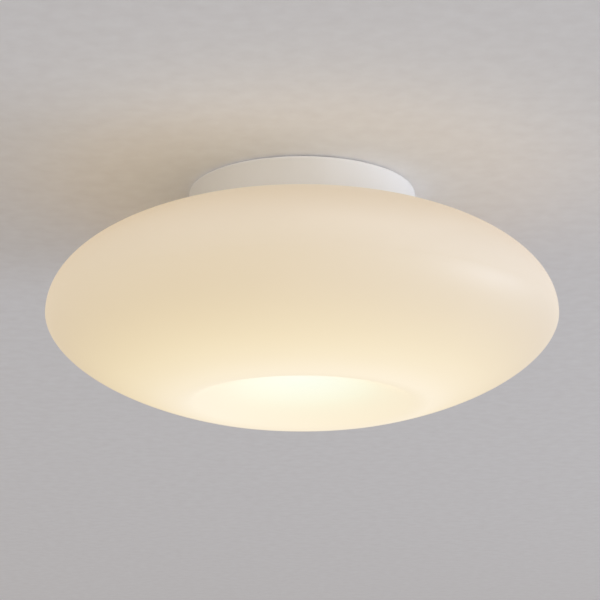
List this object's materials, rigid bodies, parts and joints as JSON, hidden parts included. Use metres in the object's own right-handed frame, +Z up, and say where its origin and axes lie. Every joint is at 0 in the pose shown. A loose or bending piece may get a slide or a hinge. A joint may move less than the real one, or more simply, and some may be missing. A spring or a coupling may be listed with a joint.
{
  "type": "ceiling light",
  "caption": "Flush ceiling light: a flattened opal glass shade with a dimple underneath pulls down off a white canopy that holds screw-in lamps.",
  "frame": {"origin": "In the ceiling plane, at the middle of the canopy, where the mains cable comes out of the ceiling", "axes": "+Z points up into the ceiling and the light hangs below it. The two ceiling screws lie on X. +Y points away from the picture's viewer."},
  "size_m": [0.4, 0.3998, 0.172],
  "materials": {
    "white_enamel": "satin white powder coat",
    "plate_enamel": "gloss white baked enamel",
    "opal_glass": "satin-etched opal glass, lit warm from inside",
    "lamp_glass": "opal lamp glass, lit",
    "lamp_plastic": "moulded white plastic",
    "cap_metal": "nickel-plated screw cap",
    "contact_insulator": "black insulator with a soldered contact",
    "porcelain": "glazed white porcelain",
    "shell_metal": "nickel-plated brass screw shell",
    "bronze": "spring bronze strip",
    "brass": "turned brass",
    "spring_steel": "bright spring steel strip",
    "rivet_steel": "plated steel rivet",
    "zinc_steel": "zinc-plated steel",
    "tinned_copper": "tinned copper lug",
    "rubber": "moulded black rubber",
    "silicone": "translucent white silicone",
    "nylon": "natural nylon",
    "live_insulation": "brown wire sleeve",
    "neutral_insulation": "blue wire sleeve",
    "earth_insulation": "green and yellow wire sleeve"
  },
  "bodies": {
    "fixture": {"canopy": "white_enamel", "reflector_plate": "plate_enamel", "cable_grommet": "rubber", "glass_gasket": "silicone", "clip_rivets": "rivet_steel", "terminal_block": "nylon", "terminal_sleeves": "brass", "terminal_screws": "zinc_steel", "block_screw": "zinc_steel", "earth_stud": "zinc_steel", "earth_nut": "zinc_steel", "earth_lug": "tinned_copper", "earth_wire": "earth_insulation", "plate_posts": "zinc_steel", "plate_screws": "zinc_steel", "holder_terminals": "brass", "holder_screws": "zinc_steel", "spring_clip_1": "spring_steel", "holder_body_1": "porcelain", "holder_sleeve_1": "shell_metal", "holder_contact_1": "bronze", "live_wire_1": "live_insulation", "neutral_wire_1": "neutral_insulation", "spring_clip_2": "spring_steel", "holder_body_2": "porcelain", "holder_sleeve_2": "shell_metal", "holder_contact_2": "bronze", "live_wire_2": "live_insulation", "neutral_wire_2": "neutral_insulation", "spring_clip_3": "spring_steel", "holder_body_3": "porcelain", "holder_sleeve_3": "shell_metal", "holder_contact_3": "bronze", "live_wire_3": "live_insulation", "neutral_wire_3": "neutral_insulation"},
    "shade": {"glass_shade": "opal_glass"},
    "bulb_1": {"bulb_globe_1": "lamp_glass", "bulb_collar_1": "lamp_plastic", "bulb_cap_1": "cap_metal", "bulb_contact_1": "contact_insulator"},
    "bulb_2": {"bulb_globe_2": "lamp_glass", "bulb_collar_2": "lamp_plastic", "bulb_cap_2": "cap_metal", "bulb_contact_2": "contact_insulator"},
    "bulb_3": {"bulb_globe_3": "lamp_glass", "bulb_collar_3": "lamp_plastic", "bulb_cap_3": "cap_metal", "bulb_contact_3": "contact_insulator"}
  },
  "joints": [
    {"name": "shade_drop", "type": "slide", "parent": "fixture", "child": "shade", "axis": [0, 0, -1], "range_m": [0, 0.14], "deforming": ["spring_clip_1", "spring_clip_2", "spring_clip_3"]},
    {"name": "bulb_1_out", "type": "slide", "parent": "fixture", "child": "bulb_1", "axis": [0, 0, -1], "range_m": [0, 0.027]},
    {"name": "bulb_2_out", "type": "slide", "parent": "fixture", "child": "bulb_2", "axis": [0, 0, -1], "range_m": [0, 0.027]},
    {"name": "bulb_3_out", "type": "slide", "parent": "fixture", "child": "bulb_3", "axis": [0, 0, -1], "range_m": [0, 0.027]}
  ]
}
